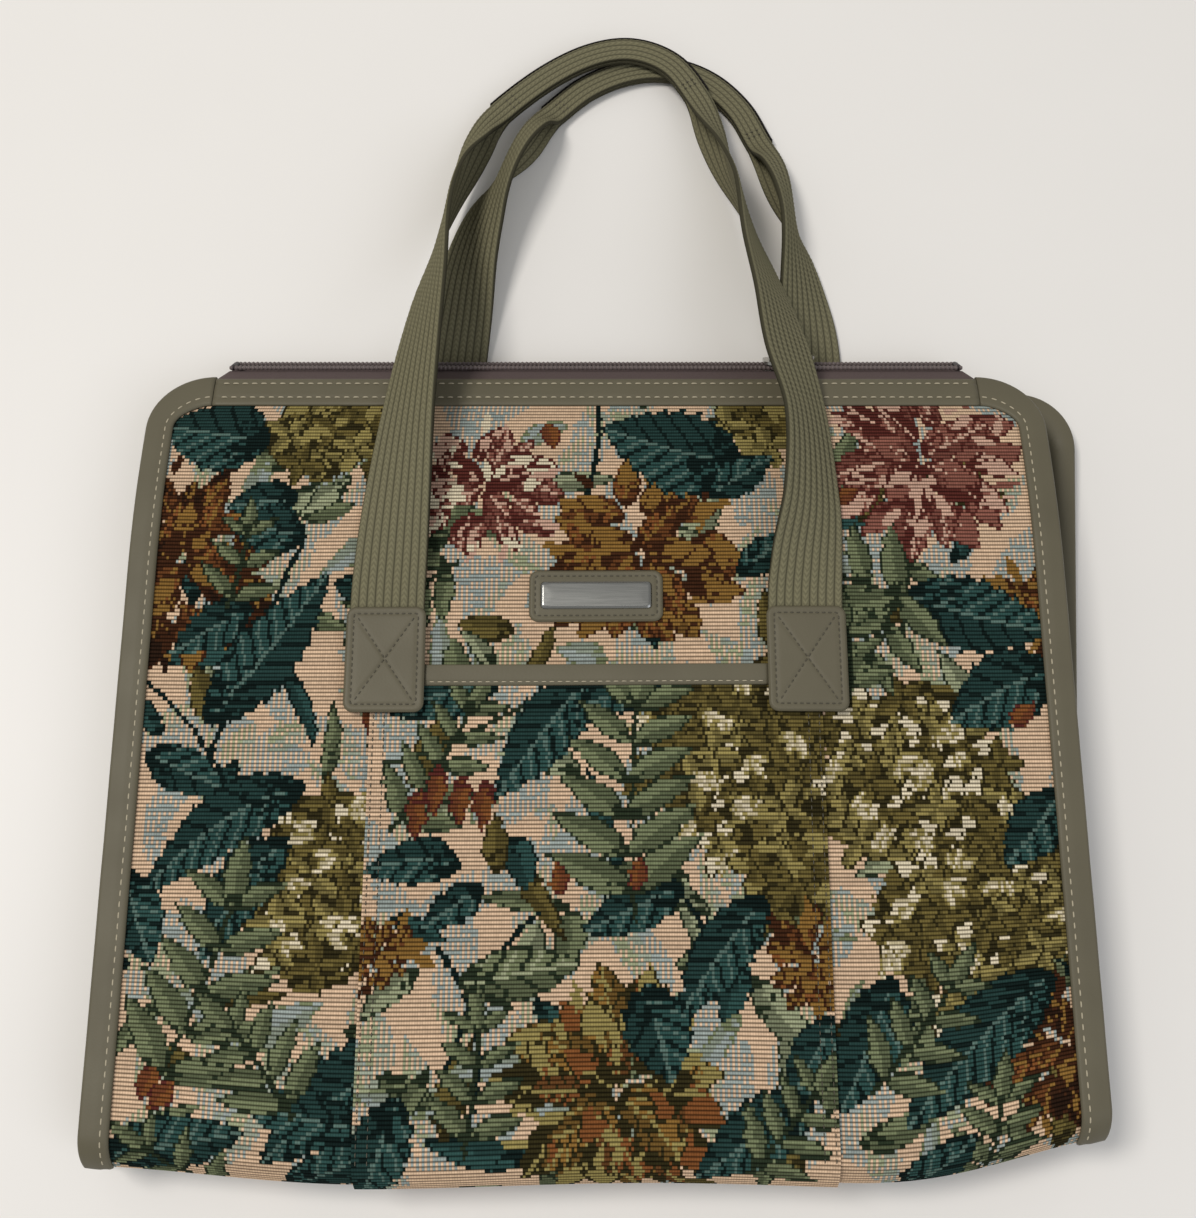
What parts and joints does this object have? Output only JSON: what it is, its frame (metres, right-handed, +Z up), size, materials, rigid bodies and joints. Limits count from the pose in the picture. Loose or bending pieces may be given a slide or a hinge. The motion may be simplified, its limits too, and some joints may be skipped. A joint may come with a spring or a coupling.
{
  "type": "tapestry tote bag",
  "caption": "Floral tapestry tote bag with ribbed webbing handles, leatherette trim and a front pocket, lying empty on its back with its zip open.",
  "frame": {"origin": "on the table, under the middle of the front panel", "axes": "+X across the bag to its right, +Y from its base to its handles, +Z up from the table"},
  "size_m": [0.421, 0.5446, 0.06],
  "materials": {
    "tapestry": "woven tapestry",
    "gusset_cloth": "plain weave",
    "leatherette": "soft satin grain",
    "webbing": "ribbed webbing",
    "dark_strip": "matt",
    "zip_tape": "plain weave",
    "zip_coil": "satin",
    "zip_metal": "worn bright",
    "plate_metal": "brushed"
  },
  "bodies": {
    "bag": {"front_panel": "tapestry", "rear_panel": "tapestry", "base_panel": "tapestry", "front_pocket": "tapestry", "left_gusset": "gusset_cloth", "right_gusset": "gusset_cloth", "pocket_trim": "leatherette", "front_band": "leatherette", "rear_band": "leatherette", "front_left_binding": "leatherette", "front_right_binding": "leatherette", "rear_left_binding": "leatherette", "rear_right_binding": "leatherette", "front_left_patch": "leatherette", "front_right_patch": "leatherette", "rear_left_patch": "leatherette", "rear_right_patch": "leatherette", "badge_patch": "leatherette", "front_handle": "webbing", "rear_handle": "webbing", "front_grip_strip": "dark_strip", "rear_grip_strip": "dark_strip", "front_zip_tape": "zip_tape", "rear_zip_tape": "zip_tape", "front_zip_coil": "zip_coil", "rear_zip_coil": "zip_coil", "zip_stops": "zip_metal", "badge_plate": "plate_metal"},
    "slider": {"zip_slider": "zip_metal"},
    "pull": {"zip_pull": "zip_metal"}
  },
  "joints": [
    {"name": "slider_travel", "type": "slide", "parent": "bag", "child": "slider", "axis": [1, 0, 0], "range_m": [-0.25, 0.078]},
    {"name": "pull_swing", "type": "hinge", "parent": "slider", "child": "pull", "pos_m": [0.086, 0.19048, 0.01844], "axis": [0, -0.5736, 0.8192], "range_deg": [0, 175]}
  ]
}
